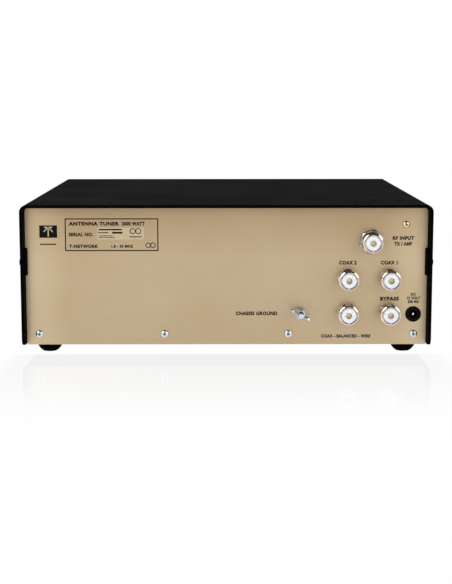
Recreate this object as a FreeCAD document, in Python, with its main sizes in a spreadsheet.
import FreeCAD, Part
import math
import os
import re
import Sketcher

# Antenna tuner: a T-network of two variable capacitors and a roller inductor in a bench case.
# Millimetres. Z is up, the front panel faces -Y, the sockets are on the rear panel towards +Y.
# The origin is the middle of the bounding box at the bottom of the rubber feet.
# Heights named ..._height are measured from the underside of the case.

DIMENSIONS = {
    # Fits: a running fit, parts that slip past each other and parts that grip
    "fit": 0.05, "slip": 0.1, "grip": 0.02,
    # Case
    "case_width": 317.5, "case_depth": 305.0, "case_height": 110.3, "foot_height": 9.0,
    "cover_sheet": 2.3, "cover_bend": 5.5, "cover_corner": 6.0, "cover_lift": 0.8,
    "panel_sheet": 2.0, "panel_gap": 0.3, "panel_height": 107.4, "panel_corner": 3.0,
    "chassis_sheet": 1.6, "pan_play": 0.2, "flange_height": 13.0, "rear_overhang": 11.5, "front_overhang": 6.0,
    "front_reach": 28.0,
    # Side notches, brackets and cover screws
    "notch_low": 54.5, "notch_tall": 21.7, "notch_depth": 1.7, "notch_round": 1.2, "bracket_sheet": 1.3,
    "bracket_leaf": 11.0, "bracket_play": 0.5, "bracket_end": 4.0, "cover_screw_set": 9.0,
    "front_screw_set": 22.0, "screw_height": 65.4, "cover_screw_long": 3.7,
    # Feet
    "foot_radius": 10.5, "foot_flat": 8.94, "foot_set_side": 141.3, "foot_set_end": 36.0,
    "foot_hole": 2.1, "foot_sink": 4.0, "foot_sink_deep": 3.0, "foot_screw_long": 7.4,
    # Pan head screws
    "head_radius": 2.9, "head_tall": 1.8, "head_rim_share": 0.6, "head_top_share": 0.75,
    "shank_radius": 1.45, "shank_long": 7.0, "hole_play": 0.15,
    "panel_screw_height": 8.4, "outer_screw": 146.45, "inner_screw": 48.45,
    # Coaxial sockets
    "barrel_radius": 7.9375, "barrel_long": 13.5, "barrel_bore": 5.9, "socket_back": 6.0,
    "barrel_seat": 7.6, "barrel_chamfer": 1.0, "socket_flange": 9.9,
    "insulator_radius": 5.8, "insulator_sink": 0.8,
    "contact_radius": 2.5, "contact_bore": 2.0, "contact_deep": 9.0, "contact_tail": 5.0,
    "rf_nut_across": 17.5, "rf_nut_tall": 3.0, "rf_washer_radius": 9.2,
    "rf_washer_tall": 1.0,
    "rf_input_across": -112.9, "rf_input_height": 80.7, "socket_near": -94.8, "socket_far": -127.3,
    "socket_upper": 51.5, "socket_lower": 24.4,
    # DC jack
    "jack_across": -146.0, "jack_height": 24.0, "jack_radius": 6.05, "jack_lip": 1.6, "jack_thread": 5.3,
    "jack_long": 12.0, "jack_bore": 2.8, "jack_bore_deep": 9.5, "jack_pin": 1.05, "jack_pin_back": 1.4,
    # Ground terminal
    "stud_across": -57.8, "stud_height": 24.9, "stud_radius": 2.08, "stud_reach": 15.5, "stud_inside": 9.0,
    "nut_across": 7.9, "nut_tall": 3.2, "washer_radius": 4.4, "washer_tall": 0.9, "wing_hub": 3.9,
    "wing_tall": 5.6, "wing_span": 17.3, "wing_sheet": 1.9, "wing_turn": 29.0, "wing_root": 1.0,
    "wing_foot": 0.8, "wing_tip": 2.4, "wing_rise": 3.4,
    # Shafts, all of one radius, in a row at one height
    "shaft_radius": 3.175, "shaft_end": 2.0, "row_height": 48.0,
    # Variable capacitors
    "input_across": -24.0, "output_across": 118.0, "frame_half": 30.0, "frame_height": 84.0,
    "end_plate": 4.0, "frame_start": 32.0, "frame_space": 84.0, "tie_rod": 3.0, "tie_rod_set": 25.0,
    "tie_rod_height": 8.0, "blade_sheet": 1.2, "blade_pitch": 6.0, "blades_start": 6.0,
    "rotor_blade": 26.0, "rotor_hub": 5.5, "stator_half": 28.0, "stator_low": 1.0, "stator_high": 29.0,
    "stator_relief": 9.0, "stator_rod": 2.5, "stator_rod_set": 24.0, "stator_rod_front": 2.0,
    "stator_rod_rear": 3.4, "hub_gap": 2.0,
    # Ball drives, dials and knobs
    "drive_radius": 11.0, "drive_long": 16.0, "drive_lug": 17.0, "lug_half": 5.0, "lug_sheet": 2.0,
    "sleeve_radius": 6.5, "sleeve_long": 30.0, "sleeve_play": 0.5, "spindle_gap": 2.0,
    "collar_radius": 8.5, "collar_long": 5.0, "dial_radius": 28.0, "dial_sheet": 2.5, "dial_gap": 1.0,
    "knob_gap": 0.8, "knob_skirt": 18.0, "knob_skirt_tall": 4.0, "knob_radius": 16.0, "knob_face": 14.8,
    "knob_tall": 17.0, "knob_spindle": 11.0,
    # Roller inductor
    "coil_across": 50.0, "coil_end_plate": 6.0, "coil_frame_start": 34.0, "coil_space": 114.0,
    "coil_frame_half": 30.0, "coil_frame_height": 88.0, "drum_radius": 22.0, "drum_gap": 2.0,
    "wire_radius": 1.0, "coil_pitch": 3.6, "coil_turns": 28.0, "coil_start": 6.0,
    "roller_radius": 8.0, "roller_sheet": 3.0, "roller_bush_radius": 4.5, "roller_bush_long": 9.0,
    "bush_rim": 1.5, "bush_lip": 1.2, "rod_radius": 3.0, "roller_gap": 0.35, "coil_rod_height": 5.0,
    # Crank
    "crank_radius": 22.0, "crank_tall": 13.0, "crank_face": 20.5, "crank_offset": 15.0, "crank_pin": 2.0,
    "grip_radius": 5.0, "grip_neck": 3.6, "grip_long": 18.0, "grip_gap": 1.0, "grip_shoulder": 2.0,
    "grip_bulge_share": 0.55, "grip_cap": 0.8, "pin_set": 1.0, "crank_gap": 1.0,
    # Turns counter
    "counter_rise": 36.0, "jack_shaft_shift": 20.0, "gear_start": 26.0, "gear_sheet": 4.0,
    "gear_teeth": 42.0, "tooth_addendum": 0.8, "tooth_dedendum": 1.2, "counter_depth": 12.0,
    "wheel_radius": 9.0, "wheel_sheet": 6.0, "wheel_pitch": 6.6, "wheel_shift": 1.6,
    "counter_shaft": 1.5, "mitre_far": 5.6, "mitre_near": 2.6, "mitre_gap": 0.3, "counter_sheet": 1.4,
    "counter_back": 22.0, "counter_window_half": 5.0, "counter_half": 7.0, "counter_gap": 0.6,
    "counter_drive_gap": 1.4, "counter_proud": 1.0, "counter_bearing": 5.0, "window_play": 0.4,
    # Antenna selector
    "selector_across": -110.85, "selector_height": 38.6, "selector_knob": 15.0, "selector_tall": 15.0,
    "selector_gap": 1.0, "selector_taper": 1.5, "selector_tail": 3.0, "pointer_half": 1.2,
    "pointer_proud": 1.0, "pointer_start": 4.0, "pointer_over": 1.5,
    "wafer_set": 32.0, "wafer_half": 26.0, "wafer_sheet": 2.0, "wafer_rotor": 13.0, "wafer_play": 0.4,
    "detent_half": 12.0, "detent_long": 9.0, "detent_set": 24.0, "detent_wide": 22.0,
    "detent_post": 2.0, "detent_post_set": 19.0, "detent_bracket": 2.0, "bracket_foot": 14.0,
    # Cross-needle meter
    "meter_across": -105.0, "meter_height": 80.0, "bezel_half": 42.0, "bezel_half_tall": 24.0,
    "bezel_tall": 5.0, "can_half": 39.0, "can_half_tall": 21.0, "can_deep": 28.0, "meter_wall": 2.0,
    "lens_sheet": 2.0, "lens_set": 1.0, "lens_play": 0.2, "scale_sheet": 0.8, "scale_set": 5.0,
    "pivot_across": 24.0, "pivot_drop": 13.0, "pivot_radius": 0.75, "pivot_start": 0.3, "needle_long": 31.0,
    "needle_width": 0.8, "needle_sheet": 0.4, "needle_hub": 2.6, "needle_hub_tall": 1.2,
    "needle_rest": 20.0, "needle_first": 1.0, "needle_step": 1.6,
    # Push buttons
    "button_across": -143.0, "button_low": 20.0, "button_step": 14.0, "button_radius": 4.0,
    "button_reach": 6.0, "button_tail": 1.0, "plunger_radius": 2.0, "plunger_long": 11.0,
    "switch_half": 6.0, "switch_start": 8.0, "switch_long": 12.0, "switch_hole_deep": 9.0, "switch_lug": 2.0,
    # Directional coupler board and straps
    "board_set": 14.0, "board_sheet": 1.6, "board_left": -146.0, "board_right": -86.0, "board_low": 66.0,
    "board_high": 102.0, "brass_across": -139.4, "brass_height": 94.3, "brass_tail": 4.0, "post_radius": 3.2,
    "toroid_radius": 9.0, "toroid_hole": 3.6, "toroid_sheet": 7.0,
    "strap_sheet": 1.2, "strap_wide": 6.0, "strap_top_height": 96.0, "strap_stand": 1.0, "strap_pad": 4.0,
    "strap_drop": 14.0, "feed_height": 72.0, "feed_hook": 3.0, "out_height": 56.0, "out_inset": 8.0,
    "out_run": 70.0, "out_lap": 5.0,
}

ABOUT = {
    "X": FreeCAD.Rotation(FreeCAD.Vector(0, 1, 0), 90),
    "Y": FreeCAD.Rotation(FreeCAD.Vector(1, 0, 0), -90),
    "Z": FreeCAD.Rotation(),
}

# Places worked out from the driving dimensions, as expressions in the sheet's names.
HALF = "(case_width / 2)"
INSIDE = "(case_width / 2 - cover_sheet)"
FLOOR = "(foot_height + chassis_sheet)"
TOP = "(foot_height + case_height)"
COVER_FRONT = "(-(case_depth + stud_reach - rear_overhang - front_reach) / 2)"
COVER_REAR = f"({COVER_FRONT} + case_depth)"
FRONT_FACE = f"({COVER_FRONT} + front_overhang)"
FRONT = f"({FRONT_FACE} + panel_sheet)"
REAR_FACE = f"({COVER_REAR} - rear_overhang)"
REAR = f"({REAR_FACE} - panel_sheet)"
PANEL_SIDE = f"({INSIDE} - panel_gap)"
ROW = "(foot_height + row_height)"
DIAL_FRONT = f"({FRONT_FACE} - dial_gap - dial_sheet)"
BLADES = f"({FRONT} + frame_start + end_plate + blades_start)"
FRAME_REAR = f"({FRONT} + frame_start + end_plate + frame_space)"
COIL_FRONT = f"({FRONT} + coil_frame_start + coil_end_plate)"
COIL_REAR = f"({COIL_FRONT} + coil_space)"
WINDING = "(drum_radius + 2 * wire_radius)"
ROLLER_UP = f"({ROW} + {WINDING} + roller_radius + roller_gap)"
COUNTER_UP = f"({ROW} + counter_rise)"
JACK_SHAFT = "(coil_across + jack_shaft_shift)"
COUNTER_Y = f"({FRONT} + counter_depth)"
WAFER = f"({REAR} - wafer_set)"
BOARD = f"({REAR} - board_set)"
METER_UP = "(foot_height + meter_height)"

OUTPUT_SOCKETS = {
    "coax_1_socket": ("socket_far", "socket_upper"),
    "coax_2_socket": ("socket_near", "socket_upper"),
    "coax_3_socket": ("socket_near", "socket_lower"),
    "bypass_socket": ("socket_far", "socket_lower"),
}
SOCKETS = {"rf_input_socket": ("rf_input_across", "rf_input_height"), **OUTPUT_SOCKETS}
BUTTONS = ("range_button", "peak_button", "lamp_button")

# Shares of a wire's radius at which its round starts, and of a tooth's pitch to its root and tip edges.
WIRE_SHOULDER = 0.6
ROOT_SHARE = 0.30
TIP_SHARE = 0.13

document = FreeCAD.newDocument("antenna_tuner")
sheet = document.addObject("Spreadsheet::Sheet", "Dims")
for row, (name, size) in enumerate(DIMENSIONS.items(), start=1):
    sheet.set(f"A{row}", name)
    sheet.set(f"B{row}", str(size))
    sheet.setAlias(f"B{row}", name)
document.recompute()
kept = {}


def bound(text):
    """Turn the sheet's names in an expression into references to its cells."""
    return re.sub(r"[a-z]\w*", lambda word: f"Dims.{word[0]}" if word[0] in DIMENSIONS else word[0], str(text))


def number(text):
    """The value of an expression."""
    return float(sheet.evalExpression(bound(text)))


def keep(node, item):
    """Name a finished sub-part."""
    item.Label = node
    kept[node] = item
    return item


def seat(item, axis, start, centre):
    """Stand an item that is made along Z on an axis, from start, with the other two places given."""
    item.Placement = FreeCAD.Placement(FreeCAD.Vector(), ABOUT[axis])
    places = list(centre)
    places.insert("XYZ".index(axis), start)
    for letter, place in zip("xyz", places):
        item.setExpression(f"Placement.Base.{letter}", bound(place))
    return item


def box(across, along, up):
    """A block between pairs of places along X, Y and Z."""
    block = document.addObject("Part::Box", "block")
    for side, (low, high), letter in zip(("Length", "Width", "Height"), (across, along, up), "xyz"):
        block.setExpression(side, bound(f"({high}) - ({low})"))
        block.setExpression(f"Placement.Base.{letter}", bound(low))
    return block


def rod(axis, span, centre, radius, sweep=360):
    """A round bar between the two places of span."""
    bar = document.addObject("Part::Cylinder", "bar")
    bar.Angle = sweep
    bar.setExpression("Radius", bound(radius))
    bar.setExpression("Height", bound(f"({span[1]}) - ({span[0]})"))
    return seat(bar, axis, span[0], centre)


def cone(axis, span, centre, first, last):
    """A tapered bar from the first radius to the last one."""
    taper = document.addObject("Part::Cone", "taper")
    taper.setExpression("Radius1", bound(first))
    taper.setExpression("Radius2", bound(last))
    taper.setExpression("Height", bound(f"({span[1]}) - ({span[0]})"))
    return seat(taper, axis, span[0], centre)


def hexagon(axis, span, centre, across):
    """A hexagonal bar of a given width across flats."""
    bar = document.addObject("Part::Prism", "hexagon")
    bar.Polygon = 6
    bar.setExpression("Circumradius", bound(f"({across}) / 2 / cos(30)"))
    bar.setExpression("Height", bound(f"({span[1]}) - ({span[0]})"))
    return seat(bar, axis, span[0], centre)


def join(*items):
    """One solid out of items that touch or overlap."""
    fusion = document.addObject("Part::MultiFuse", "join")
    fusion.Shapes = list(items)
    fusion.Refine = True
    return fusion


def gather(*items):
    """Separate solids that share one node."""
    group = document.addObject("Part::Compound", "group")
    group.Links = list(items)
    return group


def carve(base, *tools):
    """The base less the tools."""
    carved = document.addObject("Part::Cut", "carved")
    carved.Base = base
    carved.Tool = tools[0] if len(tools) == 1 else gather(*tools)
    return carved


def outline(body, loops, holes=()):
    """A sketch on the body's XZ plane with every corner and circle bound to the sheet."""
    drawing = body.newObject("Sketcher::SketchObject", "outline")
    plane = next(item for item in body.Origin.OriginFeatures if item.Role == "XZ_Plane")
    drawing.AttachmentSupport = (plane, [""])
    drawing.MapMode = "FlatFace"

    def hold(kind, *what):
        place = what[-1]
        index = drawing.addConstraint(Sketcher.Constraint(kind, *what[:-1], number(place)))
        drawing.setExpression(f"Constraints[{index}]", bound(place))

    for corners in loops:
        first = drawing.GeometryCount
        spots = [FreeCAD.Vector(number(across), number(up), 0) for across, up in corners]
        for spot, following in zip(spots, spots[1:] + spots[:1]):
            drawing.addGeometry(Part.LineSegment(spot, following), False)
        for index, (across, up) in enumerate(corners):
            following = first + (index + 1) % len(corners)
            drawing.addConstraint(Sketcher.Constraint("Coincident", first + index, 2, following, 1))
            hold("DistanceX", -1, 1, first + index, 1, across)
            hold("DistanceY", -1, 1, first + index, 1, up)
    for across, up, radius in holes:
        centre = FreeCAD.Vector(number(across), number(up), 0)
        circle = Part.Circle(centre, FreeCAD.Vector(0, 0, 1), number(radius))
        index = drawing.addGeometry(circle, False)
        hold("DistanceX", -1, 1, index, 3, across)
        hold("DistanceY", -1, 1, index, 3, up)
        hold("Radius", index, radius)
    return drawing


def slab(span, loops, holes=()):
    """A flat piece drawn in X and Z and padded along Y between the places of span."""
    body = document.addObject("PartDesign::Body", "slab")
    pad = body.newObject("PartDesign::Pad", "pad")
    pad.Profile = outline(body, loops, holes)
    pad.Reversed = True
    pad.setExpression("Length", bound(f"({span[1]}) - ({span[0]})"))
    body.setExpression("Placement.Base.y", bound(span[0]))
    return body


def turned(axis, start, centre, profile):
    """A lathe piece; the profile lists (radius, distance from start)."""
    body = document.addObject("PartDesign::Body", "turned")
    turn = body.newObject("PartDesign::Revolution", "turn")
    turn.Profile = outline(body, [profile])
    turn.ReferenceAxis = (turn.Profile[0], ["V_Axis"])
    turn.Angle = 360
    return seat(body, axis, start, centre)


def rounded(body, radius, chosen):
    """Round the chosen edges of a padded body; chosen judges an edge by its middle."""
    document.recompute()
    base = body.Tip
    fillet = body.newObject("PartDesign::Fillet", "round")
    edges = [f"Edge{i}" for i, edge in enumerate(base.Shape.Edges, start=1) if chosen(edge)]
    fillet.Base = (base, edges)
    fillet.setExpression("Radius", bound(radius))
    body.Tip = fillet
    return body


def rectangle(left, right, low, high):
    return [(left, low), (right, low), (right, high), (left, high)]


def runs_along(edge, letter):
    """Whether a straight edge runs along X, Y or Z."""
    ends = edge.Vertexes
    if len(ends) < 2:
        return False
    way = ends[1].Point - ends[0].Point
    return abs(getattr(way, letter)) > 0.999 * way.Length


def pan_head(axis, face, centre, outwards, shank):
    """A pan head screw whose head stands on a face; outwards is '+' or '-' along the axis."""
    inwards = "-" if outwards == "+" else "+"
    top = f"{face} {outwards} head_tall"
    rim = f"{face} {outwards} head_tall * head_rim_share"
    under = f"{face} {inwards} {shank}"
    head = (face, rim) if outwards == "+" else (rim, face)
    dome = (rim, top) if outwards == "+" else (top, rim)
    ends = ("head_radius", "head_radius * head_top_share")
    body = (under, rim) if outwards == "+" else (rim, under)
    first, last = ends if outwards == "+" else ends[::-1]
    return join(
        rod(axis, head, centre, "head_radius"),
        cone(axis, dome, centre, first, last),
        rod(axis, body, centre, "shank_radius"),
    )


def chassis():
    rear = f"({REAR} - chassis_sheet)"
    front = f"({FRONT} + chassis_sheet)"
    side = f"({PANEL_SIDE} - pan_play)"
    flange_top = "foot_height + flange_height"
    pan = join(
        box((f"-{side}", side), (FRONT, REAR), ("foot_height", FLOOR)),
        box((f"-{side}", side), (FRONT, front), ("foot_height", flange_top)),
        box((f"-{side}", side), (rear, REAR), ("foot_height", flange_top)),
        box((f"-{side}", f"chassis_sheet - {side}"), (FRONT, REAR), ("foot_height", flange_top)),
        box((f"{side} - chassis_sheet", side), (FRONT, REAR), ("foot_height", flange_top)),
    )
    up = "foot_height + panel_screw_height"
    screw_holes = [
        rod("Y", (face, f"{face} + chassis_sheet"), (across, up), "shank_radius + hole_play")
        for face in (FRONT, rear)
        for across in screw_places()
    ]
    foot_holes = [
        rod("Z", ("foot_height", FLOOR), spot, "shank_radius + hole_play") for spot in foot_places()
    ]
    keep("chassis_pan", carve(pan, *screw_holes, *foot_holes))


def screw_places():
    return ("-outer_screw", "-inner_screw", "inner_screw", "outer_screw")


def foot_places():
    front = f"({COVER_FRONT} + foot_set_end)"
    rear = f"({COVER_REAR} - foot_set_end)"
    return [(f"{side}foot_set_side", end) for side in ("-", "") for end in (front, rear)]


def feet():
    rubber = []
    screws = []
    for spot in foot_places():
        ball = document.addObject("Part::Sphere", "dome")
        ball.setExpression("Radius", bound("foot_radius"))
        seat(ball, "Z", "foot_flat", spot)
        across, along = spot
        block = box(
            (f"{across} - foot_radius", f"{across} + foot_radius"),
            (f"{along} - foot_radius", f"{along} + foot_radius"),
            ("0", "foot_height"),
        )
        dome = document.addObject("Part::MultiCommon", "foot")
        dome.Shapes = [ball, block]
        sink = rod("Z", ("0", "foot_sink_deep"), spot, "foot_sink")
        hole = rod("Z", ("0", "foot_height"), spot, "foot_hole")
        rubber.append(carve(dome, sink, hole))
        screws.append(pan_head("Z", "foot_sink_deep", spot, "-", "foot_screw_long"))
    keep("rubber_feet", gather(*rubber))
    keep("foot_screws", gather(*screws))


def cover():
    low = "foot_height + cover_lift"
    body = slab(
        (COVER_FRONT, COVER_REAR),
        [[
            (f"-{HALF}", low), (f"-{INSIDE}", low), (f"-{INSIDE}", f"{TOP} - cover_sheet"),
            (INSIDE, f"{TOP} - cover_sheet"), (INSIDE, low), (HALF, low), (HALF, TOP), (f"-{HALF}", TOP),
        ]],
    )
    half = number(HALF)
    inside = number(INSIDE)
    top = number(TOP)
    bottom = number(low)

    def outer_bend(edge):
        at = edge.CenterOfMass
        return runs_along(edge, "y") and at.z > top - 0.1 and abs(at.x) > inside

    def inner_bend(edge):
        at = edge.CenterOfMass
        return runs_along(edge, "y") and bottom + 1 < at.z < top - 1 and abs(at.x) < half - 1

    def low_corner(edge):
        return runs_along(edge, "x") and edge.CenterOfMass.z < bottom + 0.1

    rounded(body, "cover_bend", outer_bend)
    rounded(body, "cover_bend - cover_sheet", inner_bend)
    rounded(body, "cover_corner", low_corner)
    holes = [rod("X", span, spot, "shank_radius + hole_play") for span, spot, _ in cover_screw_places()]
    keep("top_cover", carve(body, *holes))


def cover_screw_places():
    """The span through the cover, the place in Y and Z, and the side of each cover screw."""
    up = "foot_height + screw_height"
    rear = f"({COVER_REAR} - cover_screw_set)"
    front = f"({COVER_FRONT} + front_screw_set)"
    spans = {"-": (f"-{HALF}", f"-{INSIDE}"), "+": (INSIDE, HALF)}
    return [(spans[side], (along, up), side) for side in "-+" for along in (front, rear)]


def brackets():
    low = "foot_height + notch_low + bracket_play"
    high = "foot_height + notch_low + notch_tall - bracket_play"
    outer = f"({INSIDE} - slip)"
    inner = f"({outer} - bracket_sheet)"
    pieces = []
    for sign in (1, -1):
        for rear in (False, True):
            if rear:
                side_leaf = (f"{REAR} - bracket_leaf", f"{COVER_REAR} - bracket_end")
                back_leaf = (f"{REAR} - bracket_sheet", REAR)
            else:
                side_leaf = (FRONT, f"{FRONT} + bracket_leaf * 2")
                back_leaf = (FRONT, f"{FRONT} + bracket_sheet")
            spans = [(inner, outer), (f"{outer} - bracket_leaf", outer)]
            if sign < 0:
                spans = [(f"-{right}", f"-({left})") for left, right in spans]
            leaves = [box(spans[0], side_leaf, (low, high)), box(spans[1], back_leaf, (low, high))]
            spot = cover_screw_places()[1 if rear else 0][1]
            hole = rod("X", spans[0], spot, "shank_radius + grip")
            pieces.append(carve(join(*leaves), hole))
    keep("cover_brackets", gather(*pieces))
    screws = []
    for span, spot, side in cover_screw_places():
        face = HALF if side == "+" else f"-{HALF}"
        screws.append(pan_head("X", face, spot, side, "cover_screw_long"))
    keep("cover_screws", gather(*screws))


def panel_outline():
    side = PANEL_SIDE
    top = "foot_height + panel_height"
    low = "foot_height + notch_low"
    high = "foot_height + notch_low + notch_tall"
    inner = f"{side} - notch_depth"
    return [
        (f"-{side}", "foot_height"), (side, "foot_height"), (side, low), (inner, low), (inner, high),
        (side, high), (side, top), (f"-{side}", top), (f"-{side}", high), (f"-({inner})", high),
        (f"-({inner})", low), (f"-{side}", low),
    ]


def round_top(body):
    """Round the top corners of a panel."""
    top = number("foot_height + panel_height")

    def top_corner(edge):
        return runs_along(edge, "y") and edge.CenterOfMass.z > top - 0.1

    return rounded(body, "panel_corner", top_corner)


def round_notches(body):
    """Round the inner corners of a panel's side notches."""
    notch = number(f"{PANEL_SIDE} - notch_depth")
    low = number("foot_height + notch_low")
    high = number("foot_height + notch_low + notch_tall")

    def notch_corner(edge):
        at = edge.CenterOfMass
        return runs_along(edge, "y") and abs(abs(at.x) - notch) < 0.1 and low - 0.1 < at.z < high + 0.1

    return rounded(body, "notch_round", notch_corner)


def rear_panel():
    holes = [(across, f"foot_height + {up}", "barrel_radius + hole_play") for across, up in SOCKETS.values()]
    up = "foot_height + panel_screw_height"
    holes += [(across, up, "shank_radius + hole_play") for across in screw_places()]
    holes.append(("jack_across", "foot_height + jack_height", "jack_thread + hole_play"))
    holes.append(("stud_across", "foot_height + stud_height", "stud_radius + hole_play"))
    holes.append(("brass_across", "foot_height + brass_height", "shank_radius + hole_play"))
    keep("rear_panel", round_notches(round_top(slab((REAR, REAR_FACE), [panel_outline()], holes))))


def front_panel():
    side = PANEL_SIDE
    top = "foot_height + panel_height"
    plain = rectangle(f"-{side}", side, "foot_height", top)
    window = rectangle(
        "meter_across - can_half - panel_gap", "meter_across + can_half + panel_gap",
        f"{METER_UP} - can_half_tall - panel_gap", f"{METER_UP} + can_half_tall + panel_gap",
    )
    middle = "coil_across + wheel_shift"
    wide = "(wheel_pitch + wheel_sheet / 2 + window_play)"
    counter = rectangle(
        f"{middle} - {wide}", f"{middle} + {wide}",
        f"{COUNTER_UP} - counter_window_half", f"{COUNTER_UP} + counter_window_half",
    )
    holes = [(across, ROW, "sleeve_radius + sleeve_play") for across in ("input_across", "output_across")]
    holes.append(("coil_across", ROW, "shaft_radius + fit"))
    holes.append(("selector_across", "foot_height + selector_height", "shaft_radius + fit"))
    holes += [("button_across", up, "button_radius + fit") for up in button_heights()]
    up = "foot_height + panel_screw_height"
    holes += [(across, up, "shank_radius + hole_play") for across in screw_places()]
    keep("front_panel", round_top(slab((FRONT_FACE, FRONT), [plain, window, counter], holes)))
    screws = [pan_head("Y", REAR_FACE, (across, up), "+", "shank_long") for across in screw_places()]
    screws += [pan_head("Y", FRONT_FACE, (across, up), "-", "shank_long") for across in screw_places()]
    keep("panel_screws", gather(*screws))


def button_heights():
    return [f"(foot_height + button_low + {index} * button_step)" for index in range(len(BUTTONS))]


def sockets():
    insulators = []
    contacts = []
    for node, (across, height) in SOCKETS.items():
        centre = (across, f"foot_height + {height}")
        tip = "(socket_back + panel_sheet + barrel_long)"
        face = "(socket_back + panel_sheet)"
        start = face if node in OUTPUT_SOCKETS else f"{face} + rf_washer_tall + rf_nut_tall"
        shell = [
            ("barrel_bore", "0"), ("socket_flange", "0"), ("socket_flange", "socket_back - slip"),
            ("barrel_seat", "socket_back - slip"), ("barrel_seat", start), ("barrel_radius", start),
            ("barrel_radius", f"{tip} - barrel_chamfer"), ("barrel_radius - barrel_chamfer", tip),
            ("barrel_bore", tip),
        ]
        keep(node, turned("Y", f"{REAR} - socket_back", centre, shell))
        end = f"({REAR_FACE} + barrel_long - insulator_sink)"
        insulator = rod("Y", (f"{REAR} - socket_back", end), centre, "insulator_radius")
        hole = rod("Y", (f"{REAR} - socket_back", end), centre, "contact_radius")
        insulators.append(carve(insulator, hole))
        contact = rod("Y", (f"{REAR} - socket_back - contact_tail", end), centre, "contact_radius")
        contacts.append(carve(contact, rod("Y", (f"{end} - contact_deep", end), centre, "contact_bore")))
    keep("socket_insulators", gather(*insulators))
    keep("socket_contacts", gather(*contacts))
    centre = ("rf_input_across", "foot_height + rf_input_height")
    washer_top = f"{REAR_FACE} + rf_washer_tall"
    washer = rod("Y", (REAR_FACE, washer_top), centre, "rf_washer_radius")
    washer = carve(washer, rod("Y", (REAR_FACE, washer_top), centre, "barrel_radius + slip"))
    span = (washer_top, f"{washer_top} + rf_nut_tall")
    nut = hexagon("Y", span, centre, "rf_nut_across")
    keep("rf_input_nut", gather(carve(nut, rod("Y", span, centre, "barrel_seat + grip")), washer))


def dc_jack():
    centre = ("jack_across", "foot_height + jack_height")
    lip = f"{REAR_FACE} + jack_lip"
    shell = join(
        rod("Y", (REAR_FACE, lip), centre, "jack_radius"),
        rod("Y", (f"{lip} - jack_long", REAR_FACE), centre, "jack_thread"),
    )
    hollow = rod("Y", (f"{lip} - jack_bore_deep", lip), centre, "jack_bore")
    keep("dc_jack", carve(shell, hollow))
    keep("dc_jack_pin", rod("Y", (f"{lip} - jack_bore_deep", f"{lip} - jack_pin_back"), centre, "jack_pin"))


def ground_terminal():
    centre = ("stud_across", "foot_height + stud_height")
    inside = f"({REAR} - stud_inside)"
    post = rod("Y", (inside, f"{REAR_FACE} + stud_reach"), centre, "stud_radius")
    inner_nut = hexagon("Y", (f"{REAR} - nut_tall", REAR), centre, "nut_across")
    nut_top = f"({REAR_FACE} + nut_tall)"
    outer_nut = hexagon("Y", (REAR_FACE, nut_top), centre, "nut_across")
    outer_nut = carve(outer_nut, rod("Y", (REAR_FACE, nut_top), centre, "stud_radius + grip"))
    keep("ground_stud", gather(join(post, inner_nut), outer_nut))
    washer_top = f"({nut_top} + washer_tall)"
    washer = rod("Y", (nut_top, washer_top), centre, "washer_radius")
    keep("ground_washer", carve(washer, rod("Y", (nut_top, washer_top), centre, "stud_radius + fit")))
    up = f"({centre[1]})"
    span = "wing_span / 2"
    wings = slab(
        ("-wing_sheet / 2", "wing_sheet / 2"),
        [
            [("wing_root", "wing_foot"), ("wing_hub", "wing_foot"), (span, "wing_tall + wing_root"),
             (f"{span} - wing_tip", "wing_tall + wing_rise"), ("wing_root", "wing_tall - wing_root")],
            [("-wing_root", "wing_foot"), ("-wing_root", "wing_tall - wing_root"),
             (f"wing_tip - {span}", "wing_tall + wing_rise"), (f"-{span}", "wing_tall + wing_root"),
             ("-wing_hub", "wing_foot")],
        ],
    )
    wings.AllowCompound = True
    hub = cone("Z", ("0", "wing_tall"), ("0", "0"), "wing_hub", "wing_hub - wing_foot")
    bore = rod("Z", ("0", "wing_tall + wing_rise"), ("0", "0"), "stud_radius + fit")
    nut = carve(join(hub, wings), bore)
    tilt = FreeCAD.Rotation(FreeCAD.Vector(0, 1, 0), number("wing_turn"))
    nut.Placement = FreeCAD.Placement(FreeCAD.Vector(), tilt * ABOUT["Y"])
    for letter, place in zip("xyz", (centre[0], washer_top, up)):
        nut.setExpression(f"Placement.Base.{letter}", bound(place))
    keep("wing_nut", nut)


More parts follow.
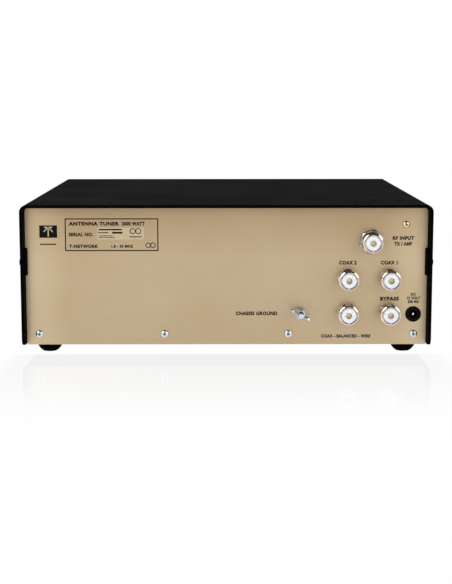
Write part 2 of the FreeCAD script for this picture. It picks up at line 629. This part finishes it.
def capacitor(name, across):
    centre = (across, ROW)
    first = f"({FRONT} + frame_start)"
    plates = []
    for start in (first, FRAME_REAR):
        span = (start, f"{start} + end_plate")
        sides = (f"{across} - frame_half", f"{across} + frame_half")
        plate = box(sides, span, (FLOOR, "foot_height + frame_height"))
        rods = [rod("Y", span, spot, "stator_rod + slip") for spot in stator_rods(across)]
        plates.append(carve(plate, rod("Y", span, centre, "shaft_radius + fit"), *rods))
    for side in "+-":
        spot = (f"{across} {side} tie_rod_set", f"{FLOOR} + tie_rod_height")
        plates.append(rod("Y", (f"{first} + end_plate", FRAME_REAR), spot, "tie_rod"))
    count = int(number("(frame_space - 2 * blades_start) / blade_pitch")) + 1
    stator = []
    rotor = []
    for index in range(count):
        fixed = f"({BLADES} + {index} * blade_pitch - blade_sheet / 2)"
        stator.append(box(
            (f"{across} - stator_half", f"{across} + stator_half"), (fixed, f"{fixed} + blade_sheet"),
            (f"{ROW} + stator_low", f"{ROW} + stator_high"),
        ))
        moving = f"({fixed} + blade_pitch / 2)"
        if index < count - 1:
            rotor.append(rod("Y", (moving, f"{moving} + blade_sheet"), centre, "rotor_blade", 180))
    rod_span = (f"{first} - stator_rod_front", f"{FRAME_REAR} + end_plate + stator_rod_rear")
    stator += [rod("Y", rod_span, spot, "stator_rod") for spot in stator_rods(across)]
    relief = rod("Y", (f"{first} + end_plate", FRAME_REAR), centre, "stator_relief")
    keep(f"{name}_stator", carve(join(*stator), relief))
    rotor.append(rod("Y", (f"{first} + end_plate + hub_gap", f"{FRAME_REAR} - hub_gap"), centre, "rotor_hub"))
    shaft = (f"{FRONT} + knob_spindle + spindle_gap", f"{FRAME_REAR} + end_plate + shaft_end")
    rotor.append(rod("Y", shaft, centre, "shaft_radius"))
    keep(f"{name}_rotor", join(*rotor))
    keep(f"{name}_dial", dial(centre))
    keep(f"{name}_knob", knob(centre))
    return join(*plates)


def stator_rods(across):
    """The places of the two rods that hold a stator's plates."""
    return [(f"{across} {side} stator_rod_set", f"{ROW} + stator_rod_set") for side in "+-"]


def dial(centre):
    """A dial skirt with the sleeve that grips the rotor's shaft."""
    whole = f"(dial_sheet + dial_gap + panel_sheet + sleeve_long)"
    return turned("Y", DIAL_FRONT, centre, [
        ("shaft_radius + fit", "0"), ("dial_radius", "0"), ("dial_radius", "dial_sheet"),
        ("sleeve_radius", "dial_sheet"), ("sleeve_radius", f"{whole} - collar_long"),
        ("collar_radius", f"{whole} - collar_long"), ("collar_radius", whole), ("shaft_radius + fit", whole),
    ])


def knob(centre):
    """A tuning knob on the spindle of its reduction drive."""
    back = f"({DIAL_FRONT} - knob_gap)"
    start = f"({back} - knob_tall)"
    return turned("Y", start, centre, [
        ("0", "0"), ("knob_face", "0"), ("knob_radius", "knob_tall - knob_skirt_tall"),
        ("knob_skirt", "knob_tall - knob_skirt_tall"), ("knob_skirt", "knob_tall"),
        ("shaft_radius", "knob_tall"),
        ("shaft_radius", f"{FRONT} + knob_spindle - {start}"), ("0", f"{FRONT} + knob_spindle - {start}"),
    ])


def capacitors():
    keep("capacitor_frames", gather(*[capacitor(name, f"{name}_across") for name in ("input", "output")]))
    drives = []
    for across in ("input_across", "output_across"):
        centre = (across, ROW)
        housing = join(
            rod("Y", (FRONT, f"{FRONT} + drive_long"), centre, "drive_radius"),
            box(
                (f"{across} - drive_lug", f"{across} + drive_lug"), (FRONT, f"{FRONT} + lug_sheet"),
                (f"{ROW} - lug_half", f"{ROW} + lug_half"),
            ),
        )
        bore = rod("Y", (FRONT, f"{FRONT} + drive_long"), centre, "sleeve_radius + fit")
        drives.append(carve(housing, bore))
    keep("ball_drives", gather(*drives))


def inductor():
    centre = ("coil_across", ROW)
    plates = []
    for start in (f"({FRONT} + coil_frame_start)", COIL_REAR):
        span = (start, f"{start} + coil_end_plate")
        plate = box(
            ("coil_across - coil_frame_half", "coil_across + coil_frame_half"), span,
            (FLOOR, "foot_height + coil_frame_height"),
        )
        plates.append(carve(plate, rod("Y", span, centre, "shaft_radius + fit")))
    plates.append(rod("Y", (COIL_FRONT, COIL_REAR), ("coil_across", ROLLER_UP), "rod_radius"))
    for side in "+-":
        spot = (f"coil_across {side} tie_rod_set", f"{FLOOR} + coil_rod_height")
        plates.append(rod("Y", (COIL_FRONT, COIL_REAR), spot, "tie_rod"))
    keep("inductor_frame", join(*plates))
    inner = (f"{COIL_FRONT} + drum_gap", f"{COIL_REAR} - drum_gap")
    drum = rod("Y", inner, centre, "drum_radius")
    keep("inductor_drum", carve(drum, rod("Y", inner, centre, "shaft_radius + grip")))
    ends = (f"{FRONT_FACE} - crank_gap", f"{COIL_REAR} + coil_end_plate + shaft_end")
    shaft = rod("Y", ends, centre, "shaft_radius")
    keep("inductor_shaft", join(shaft, gear("coil_across", ROW, 0.0)))
    keep("inductor_coil", winding())
    place = roller_start()
    bush_span = (f"{place} - roller_bush_long / 2", f"{place} + roller_bush_long / 2")
    roller_centre = ("coil_across", ROLLER_UP)
    lip = "roller_bush_radius + bush_lip"
    bush = join(
        rod("Y", bush_span, roller_centre, "roller_bush_radius"),
        rod("Y", (bush_span[0], f"{bush_span[0]} + bush_rim"), roller_centre, lip),
        rod("Y", (f"{bush_span[1]} - bush_rim", bush_span[1]), roller_centre, lip),
    )
    keep("roller_bush", carve(bush, rod("Y", bush_span, roller_centre, "rod_radius + fit")))
    wheel_span = (f"{place} - roller_sheet / 2", f"{place} + roller_sheet / 2")
    wheel = rod("Y", wheel_span, roller_centre, "roller_radius")
    keep("roller_wheel", carve(wheel, rod("Y", wheel_span, roller_centre, "roller_bush_radius + fit")))


def roller_start():
    return f"({COIL_FRONT} + coil_start + coil_pitch / 2)"


def winding():
    """The winding as one ridged sleeve: a half round of wire for each turn."""
    wire = number("wire_radius")
    low = number("drum_radius + grip")
    shoulder = low + number("wire_radius") * WIRE_SHOULDER
    top = number("drum_radius + 2 * wire_radius")
    pitch = number("coil_pitch")
    edges = []
    spot = FreeCAD.Vector(low, 0, 0)
    for turn in range(int(number("coil_turns"))):
        foot = FreeCAD.Vector(shoulder, 0, turn * pitch + pitch / 2 - wire)
        crest = FreeCAD.Vector(top, 0, turn * pitch + pitch / 2)
        end = FreeCAD.Vector(shoulder, 0, turn * pitch + pitch / 2 + wire)
        if turn == 0:
            first = FreeCAD.Vector(low, 0, foot.z)
            edges.append(Part.LineSegment(first, foot).toShape())
        else:
            edges.append(Part.LineSegment(spot, foot).toShape())
        edges.append(Part.Arc(foot, crest, end).toShape())
        spot = end
    last = FreeCAD.Vector(low, 0, spot.z)
    edges.append(Part.LineSegment(spot, last).toShape())
    edges.append(Part.LineSegment(last, first).toShape())
    face = Part.Face(Part.Wire(edges))
    coil = document.addObject("Part::Feature", "winding")
    coil.Shape = face.revolve(FreeCAD.Vector(), FreeCAD.Vector(0, 0, 1), 360)
    return seat(coil, "Y", f"{COIL_FRONT} + coil_start", ("coil_across", ROW))


def gear(across, up, phase):
    """A straight-toothed gear whose first tooth points at angle phase, in teeth."""
    teeth = int(number("gear_teeth"))
    centres = math.hypot(number("jack_shaft_shift"), number("counter_rise"))
    pitch_radius = centres / 2
    module = centres / teeth
    outer = pitch_radius + number("tooth_addendum") * module
    root = pitch_radius - number("tooth_dedendum") * module
    step = 2 * math.pi / teeth
    lean = math.atan2(number("counter_rise"), number("jack_shaft_shift"))
    corners = []
    for tooth in range(teeth):
        middle = -lean + (tooth + phase) * step
        tooth_corners = ((root, -ROOT_SHARE), (outer, -TIP_SHARE), (outer, TIP_SHARE), (root, ROOT_SHARE))
        for radius, part in tooth_corners:
            angle = middle + part * step
            corners.append(FreeCAD.Vector(radius * math.cos(angle), radius * math.sin(angle), 0))
    face = Part.Face(Part.makePolygon(corners + corners[:1]))
    wheel = document.addObject("Part::Feature", "gear")
    wheel.Shape = face.extrude(FreeCAD.Vector(0, 0, number("gear_sheet")))
    return seat(wheel, "Y", f"{FRONT} + gear_start", (across, up))


def crank():
    centre = ("coil_across", ROW)
    back = f"({FRONT_FACE} - crank_gap)"
    face = f"({back} - crank_tall)"
    pin_up = f"{ROW} + crank_offset"
    disc = join(
        cone("Y", (face, back), centre, "crank_face", "crank_radius"),
        rod("Y", (f"{face} - grip_gap - grip_long + pin_set", face), ("coil_across", pin_up), "crank_pin"),
    )
    keep("crank_knob", disc)
    start = f"({face} - grip_gap - grip_long)"
    keep("crank_handle", turned("Y", start, ("coil_across", pin_up), [
        ("0", "0"), ("grip_neck", "0"), ("grip_radius", "grip_shoulder"),
        ("grip_radius", "grip_long * grip_bulge_share"), ("grip_neck", "grip_long"),
        ("crank_pin + fit", "grip_long"), ("crank_pin + fit", "grip_cap"), ("0", "grip_cap"),
    ]))


def counter():
    middle = "(coil_across + wheel_shift)"
    left = f"({middle} - wheel_pitch - wheel_sheet / 2 - counter_gap)"
    right = f"({middle} + wheel_pitch + wheel_sheet / 2 + counter_drive_gap)"
    back = f"({FRONT} + counter_back)"
    jack_end = f"({JACK_SHAFT} + counter_bearing)"
    up = (f"{COUNTER_UP} - counter_half", f"{COUNTER_UP} + counter_half")
    frame = join(
        box((f"{left} - counter_sheet", left), (FRONT, back), up),
        box((right, f"{right} + counter_sheet"), (FRONT, back), up),
        box((f"{left} - counter_sheet", jack_end), (back, f"{back} + counter_sheet"), up),
    )
    shaft_line = (COUNTER_Y, COUNTER_UP)
    jack_line = (JACK_SHAFT, COUNTER_UP)
    ends = (f"{left} - counter_sheet - counter_proud", f"{JACK_SHAFT} - mitre_near")
    frame = carve(
        frame,
        rod("X", ends, shaft_line, "counter_shaft + fit"),
        rod("Y", (back, f"{back} + counter_sheet"), jack_line, "counter_shaft + fit"),
    )
    keep("counter_frame", frame)
    jack_gear_end = f"{FRONT} + gear_start + gear_sheet"
    keep("counter_gear", join(
        cone("Y", (f"{COUNTER_Y} + mitre_near", f"{COUNTER_Y} + mitre_far"), jack_line,
             "mitre_near - mitre_gap", "mitre_far - mitre_gap"),
        rod("Y", (f"{COUNTER_Y} + mitre_far", jack_gear_end), jack_line, "counter_shaft"),
        gear(JACK_SHAFT, COUNTER_UP, gear_phase()),
    ))
    wheels = {"counter_units_wheel": 1, "counter_tens_wheel": 0, "counter_hundreds_wheel": -1}
    for node, step in wheels.items():
        spot = f"({middle} + {step} * wheel_pitch)"
        span = (f"{spot} - wheel_sheet / 2", f"{spot} + wheel_sheet / 2")
        wheel = rod("X", span, shaft_line, "wheel_radius")
        if step == 1:
            mitre = cone(
                "X", (f"{JACK_SHAFT} - mitre_far", f"{JACK_SHAFT} - mitre_near"), shaft_line,
                "mitre_far - mitre_gap", "mitre_near - mitre_gap",
            )
            ends = (f"{left} - counter_sheet - counter_proud", f"{JACK_SHAFT} - mitre_far")
            shaft = rod("X", ends, shaft_line, "counter_shaft")
            keep(node, join(wheel, shaft, mitre))
        else:
            keep(node, carve(wheel, rod("X", span, shaft_line, "counter_shaft + fit")))


def gear_phase():
    """Half a tooth out of step where the two equal gears meet."""
    teeth = int(number("gear_teeth"))
    return 0.5 if (teeth // 2) * 2 == teeth else 0.0


def selector():
    centre = ("selector_across", "foot_height + selector_height")
    back = f"({FRONT_FACE} - selector_gap)"
    front = f"({back} - selector_tall)"
    pointer = box(
        ("selector_across - pointer_half", "selector_across + pointer_half"),
        (f"{front} - pointer_proud", f"{back} - pointer_proud"),
        ("foot_height + selector_height + pointer_start",
         "foot_height + selector_height + selector_knob + pointer_over"),
    )
    knob_body = cone("Y", (front, back), centre, "selector_knob - selector_taper", "selector_knob")
    keep("selector_knob", join(knob_body, pointer))
    shaft_rear = f"({WAFER} + wafer_sheet + selector_tail)"
    blade = rod("Y", (WAFER, f"{WAFER} + wafer_sheet"), centre, "wafer_rotor")
    keep("selector_shaft", join(rod("Y", (back, shaft_rear), centre, "shaft_radius"), blade))
    up = "(foot_height + selector_height)"
    wafer_span = (WAFER, f"{WAFER} + wafer_sheet")
    square = box(
        ("selector_across - wafer_half", "selector_across + wafer_half"), wafer_span,
        (f"{up} - wafer_half", f"{up} + wafer_half"),
    )
    wafer = carve(square, rod("Y", wafer_span, centre, "wafer_rotor + wafer_play"))
    detent = f"({WAFER} - detent_set)"
    post_span = (f"{detent} + detent_long", WAFER)
    spots = [(f"selector_across {side} detent_post_set", up) for side in "+-"]
    posts = [rod("Y", post_span, spot, "detent_post") for spot in spots]
    housing = join(
        box(("selector_across - detent_wide", "selector_across + detent_wide"),
            (detent, f"{detent} + detent_long"), (f"{up} - detent_half", f"{up} + detent_half")),
        box(("selector_across - detent_half", "selector_across + detent_half"),
            (detent, f"{detent} + detent_bracket"), (FLOOR, up)),
        box(("selector_across - detent_half", "selector_across + detent_half"),
            (f"{detent} - bracket_foot", detent), (FLOOR, f"{FLOOR} + detent_bracket")),
    )
    bore = rod("Y", (detent, f"{detent} + detent_long"), centre, "shaft_radius + fit")
    keep("switch_wafer", join(carve(housing, bore), *posts, wafer))


def meter():
    bezel_front = f"({FRONT_FACE} - bezel_tall)"
    across = "meter_across"

    def pane(half, tall, span):
        sides = (f"{across} - {half}", f"{across} + {half}")
        return box(sides, span, (f"{METER_UP} - {tall}", f"{METER_UP} + {tall}"))

    back = f"({FRONT} + can_deep)"
    can = join(
        pane("bezel_half", "bezel_half_tall", (bezel_front, FRONT_FACE)),
        pane("can_half", "can_half_tall", (FRONT_FACE, back)),
    )
    inner = ("(can_half - meter_wall)", "(can_half_tall - meter_wall)")
    hollow = pane(*inner, (bezel_front, f"{back} - meter_wall"))
    first = f"({FRONT} + needle_first)"
    pin_span = (f"{first} - pivot_start", f"{back} - meter_wall / 2")
    pins = [rod("Y", pin_span, spot, "pivot_radius") for spot in pivots().values()]
    keep("meter_housing", join(carve(can, hollow), *pins))
    lens_span = (f"{bezel_front} + lens_set", f"{bezel_front} + lens_set + lens_sheet")
    keep("meter_lens", pane(
        "(can_half - meter_wall - lens_play)", "(can_half_tall - meter_wall - lens_play)", lens_span))
    scale_span = (f"{FRONT} + scale_set", f"{FRONT} + scale_set + scale_sheet")
    scale = pane(*inner, scale_span)
    holes = [rod("Y", scale_span, spot, "pivot_radius + slip") for spot in pivots().values()]
    keep("meter_scale", carve(scale, *holes))
    for index, (node, (spot_across, spot_up)) in enumerate(pivots().items()):
        start = f"({first} + {index} * needle_step)"
        way = "-" if node == "forward_needle" else "+"
        pointer = box(("0", "needle_long"), ("0", "needle_sheet"), ("-needle_width / 2", "needle_width / 2"))
        hub = rod("Y", ("0", "needle_hub_tall"), ("0", "0"), "needle_hub")
        hole = rod("Y", ("0", "needle_hub_tall"), ("0", "0"), "pivot_radius + fit")
        needle = carve(join(pointer, hub), hole)
        angle = number("needle_rest") - 180 if way == "-" else -number("needle_rest")
        needle.Placement = FreeCAD.Placement(FreeCAD.Vector(), FreeCAD.Rotation(FreeCAD.Vector(0, 1, 0), angle))
        for letter, place in zip("xyz", (spot_across, start, spot_up)):
            needle.setExpression(f"Placement.Base.{letter}", bound(place))
        keep(node, needle)


def pivots():
    up = f"{METER_UP} - pivot_drop"
    return {
        "forward_needle": ("meter_across + pivot_across", up),
        "reflected_needle": ("meter_across - pivot_across", up),
    }


def buttons():
    switches = []
    for node, up in zip(BUTTONS, button_heights()):
        centre = ("button_across", up)
        tail = f"({FRONT} + button_tail)"
        keep(node, join(
            rod("Y", (f"{FRONT_FACE} - button_reach", tail), centre, "button_radius"),
            rod("Y", (tail, f"{tail} + plunger_long"), centre, "plunger_radius"),
        ))
        start = f"({FRONT} + switch_start)"
        switch = join(
            box(
                ("button_across - switch_half", "button_across + switch_half"),
                (start, f"{start} + switch_long"),
                (f"{up} - switch_half", f"{up} + switch_half"),
            ),
            box(
                ("button_across + switch_half - switch_lug", "button_across + switch_half"), (FRONT, start),
                (f"{up} - switch_half", f"{up} + switch_half"),
            ),
        )
        hole = rod("Y", (start, f"{start} + switch_hole_deep"), centre, "plunger_radius + fit")
        switches.append(carve(switch, hole))
    keep("button_switches", gather(*switches))


def bridge():
    board_span = (BOARD, f"{BOARD} + board_sheet")
    brass = ("brass_across", "foot_height + brass_height")
    feed = ("rf_input_across", "foot_height + rf_input_height")
    board = carve(
        box(("board_left", "board_right"), board_span, ("foot_height + board_low", "foot_height + board_high")),
        rod("Y", board_span, brass, "shank_radius + hole_play"),
        rod("Y", board_span, feed, "contact_radius + slip"),
    )
    post = carve(
        rod("Y", (f"{BOARD} + board_sheet", REAR), brass, "post_radius"),
        rod("Y", (f"{BOARD} + board_sheet", REAR), brass, "shank_radius + hole_play"),
    )
    toroid_span = (f"{BOARD} - toroid_sheet", BOARD)
    toroid = carve(rod("Y", toroid_span, feed, "toroid_radius"), rod("Y", toroid_span, feed, "toroid_hole"))
    keep("bridge_board", gather(board, post, toroid))
    keep("bridge_screw", pan_head("Y", REAR_FACE, brass, "+", "board_set + brass_tail"))


def straps():
    """The network's hot strap over the inductor, the input strap and the output strap."""
    rear = f"({FRAME_REAR} + end_plate)"
    hot = (f"{rear} + strap_stand", f"{rear} + strap_stand + strap_sheet")
    rod_up = f"({ROW} + stator_rod_set)"
    top = ("foot_height + strap_top_height - strap_wide", "foot_height + strap_top_height")
    left = "(input_across + stator_rod_set)"
    right = "(output_across - stator_rod_set)"
    pads = [
        box((f"{across} - strap_pad", f"{across} + strap_pad"), hot, (f"{rod_up} - strap_pad", top[1]))
        for across in (left, right)
    ]
    coil_side = ("coil_across - strap_wide / 2", "coil_across + strap_wide / 2")
    coil_end = f"({COIL_REAR} + coil_end_plate)"
    tab_top = f"{top[0]} + strap_sheet"
    hot_strap = join(
        *pads,
        box((f"{left} - strap_pad", f"{right} + strap_pad"), hot, top),
        box(coil_side, (hot[0], f"{coil_end} + strap_sheet"), (top[0], tab_top)),
        box(coil_side, (coil_end, f"{coil_end} + strap_sheet"), (f"{top[0]} - strap_drop", tab_top)),
    )
    ends = [rod("Y", hot, (across, rod_up), "stator_rod + slip") for across in (left, right)]
    edge = "(input_across - frame_half)"
    feed_up = ("foot_height + feed_height", "foot_height + feed_height + strap_wide")
    feed = join(
        box((f"{edge} - strap_sheet", edge), (f"{rear} - feed_hook", f"{BOARD} + board_sheet"), feed_up),
        box(("board_right", edge), (BOARD, f"{BOARD} + strap_sheet"), feed_up),
    )
    far = "(output_across + frame_half - out_inset)"
    near = "(selector_across + wafer_half - out_lap)"
    turn = f"({rear} + out_run)"
    out_up = ("foot_height + out_height", "foot_height + out_height + strap_wide")
    out = join(
        box((far, f"{far} + strap_sheet"), (rear, turn), out_up),
        box((near, f"{far} + strap_sheet"), (turn, f"{turn} + strap_sheet"), out_up),
        box((near, f"{near} + strap_sheet"), (turn, WAFER), out_up),
    )
    keep("copper_straps", gather(carve(hot_strap, *ends), feed, out))


def check_and_write():
    document.recompute()
    for item in document.Objects:
        if "Invalid" in item.State or "Error" in item.State:
            raise RuntimeError(f"{item.Name} failed: {item.State}")
    for node, item in kept.items():
        if item.Shape.isNull() or not item.Shape.isValid() or not item.Shape.Solids:
            raise RuntimeError(f"{node} has no valid shape")
    os.makedirs("parts", exist_ok=True)
    for node, item in kept.items():
        item.Shape.exportStep(f"parts/{node}.step")


chassis()
feet()
cover()
brackets()
rear_panel()
front_panel()
sockets()
dc_jack()
ground_terminal()
capacitors()
inductor()
crank()
counter()
selector()
meter()
buttons()
bridge()
straps()
check_and_write()
print(len(kept), "sub-parts")
